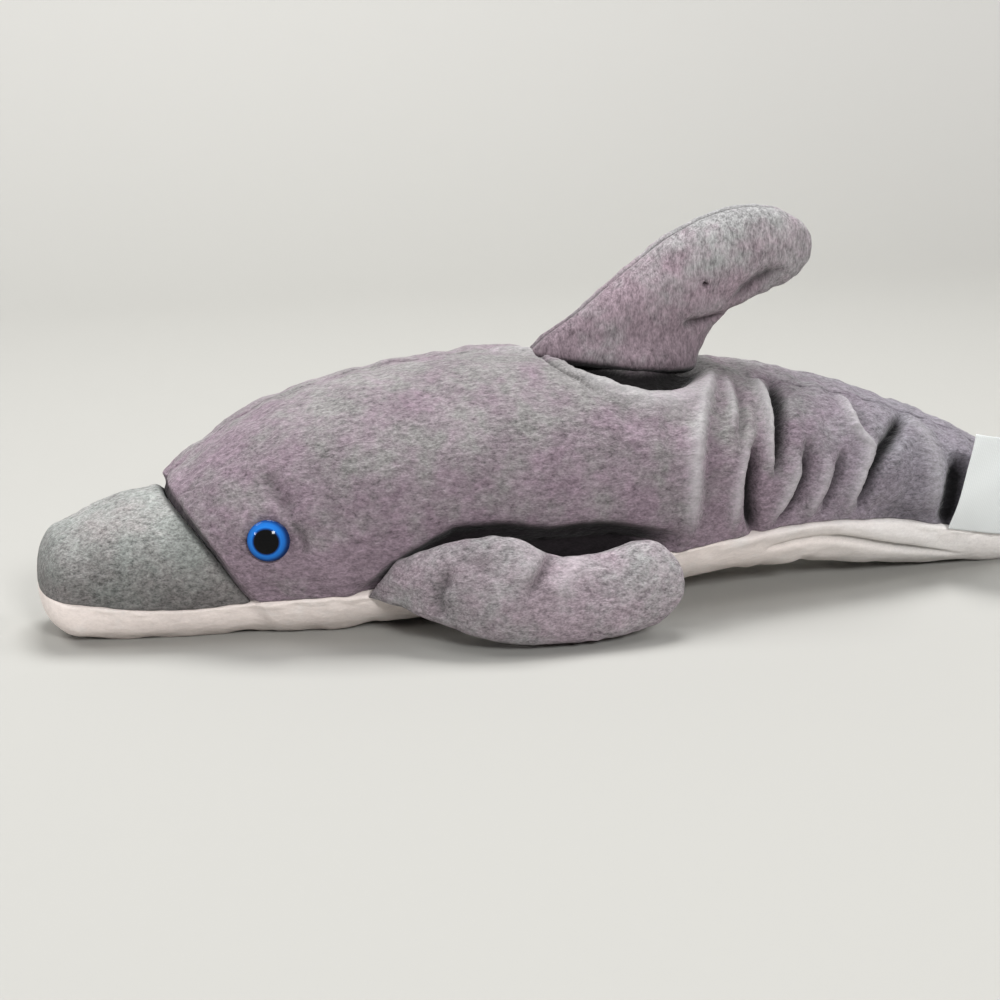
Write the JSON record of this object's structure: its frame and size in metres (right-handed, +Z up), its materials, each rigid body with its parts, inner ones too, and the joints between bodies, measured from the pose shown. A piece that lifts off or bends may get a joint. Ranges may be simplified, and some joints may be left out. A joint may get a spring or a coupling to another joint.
{
  "type": "plush dolphin",
  "caption": "Stuffed soft toy dolphin in short grey pile with a pale belly, domed blue eyes, back fin, flippers, tail flukes and a blank sewn-in label.",
  "frame": {"origin": "centre of the toy's footprint on the floor it lies on", "axes": "+X from the snout to the tail flukes, +Z up, -Y the side with the sewn-in label"},
  "size_m": [0.379, 0.124, 0.1189],
  "materials": {
    "grey_pile": "short grey pile, brushed towards the tail",
    "pale_pile": "short off-white pile",
    "fibre_fill": "loose polyester fibre",
    "eye_gloss": "polished dome",
    "washer_plastic": "as moulded",
    "label_satin": "white woven satin"
  },
  "bodies": {
    "root": {"belly_panel": "pale_pile", "body_stuffing": "fibre_fill", "dorsal_fin_left": "grey_pile", "dorsal_fin_right": "grey_pile", "dorsal_fin_stuffing": "fibre_fill", "eye_left": "eye_gloss", "eye_right": "eye_gloss", "eye_washer_left": "washer_plastic", "eye_washer_right": "washer_plastic", "flipper_left_bottom": "grey_pile", "flipper_left_top": "grey_pile", "flipper_right_bottom": "grey_pile", "flipper_right_top": "grey_pile", "flipper_stuffing_left": "fibre_fill", "flipper_stuffing_right": "fibre_fill", "fluke_bottom": "grey_pile", "fluke_stuffing": "fibre_fill", "fluke_top": "grey_pile", "sewn_tag": "label_satin", "side_panel_left": "grey_pile", "side_panel_right": "grey_pile", "snout_panel": "grey_pile"}
  },
  "joints": []
}
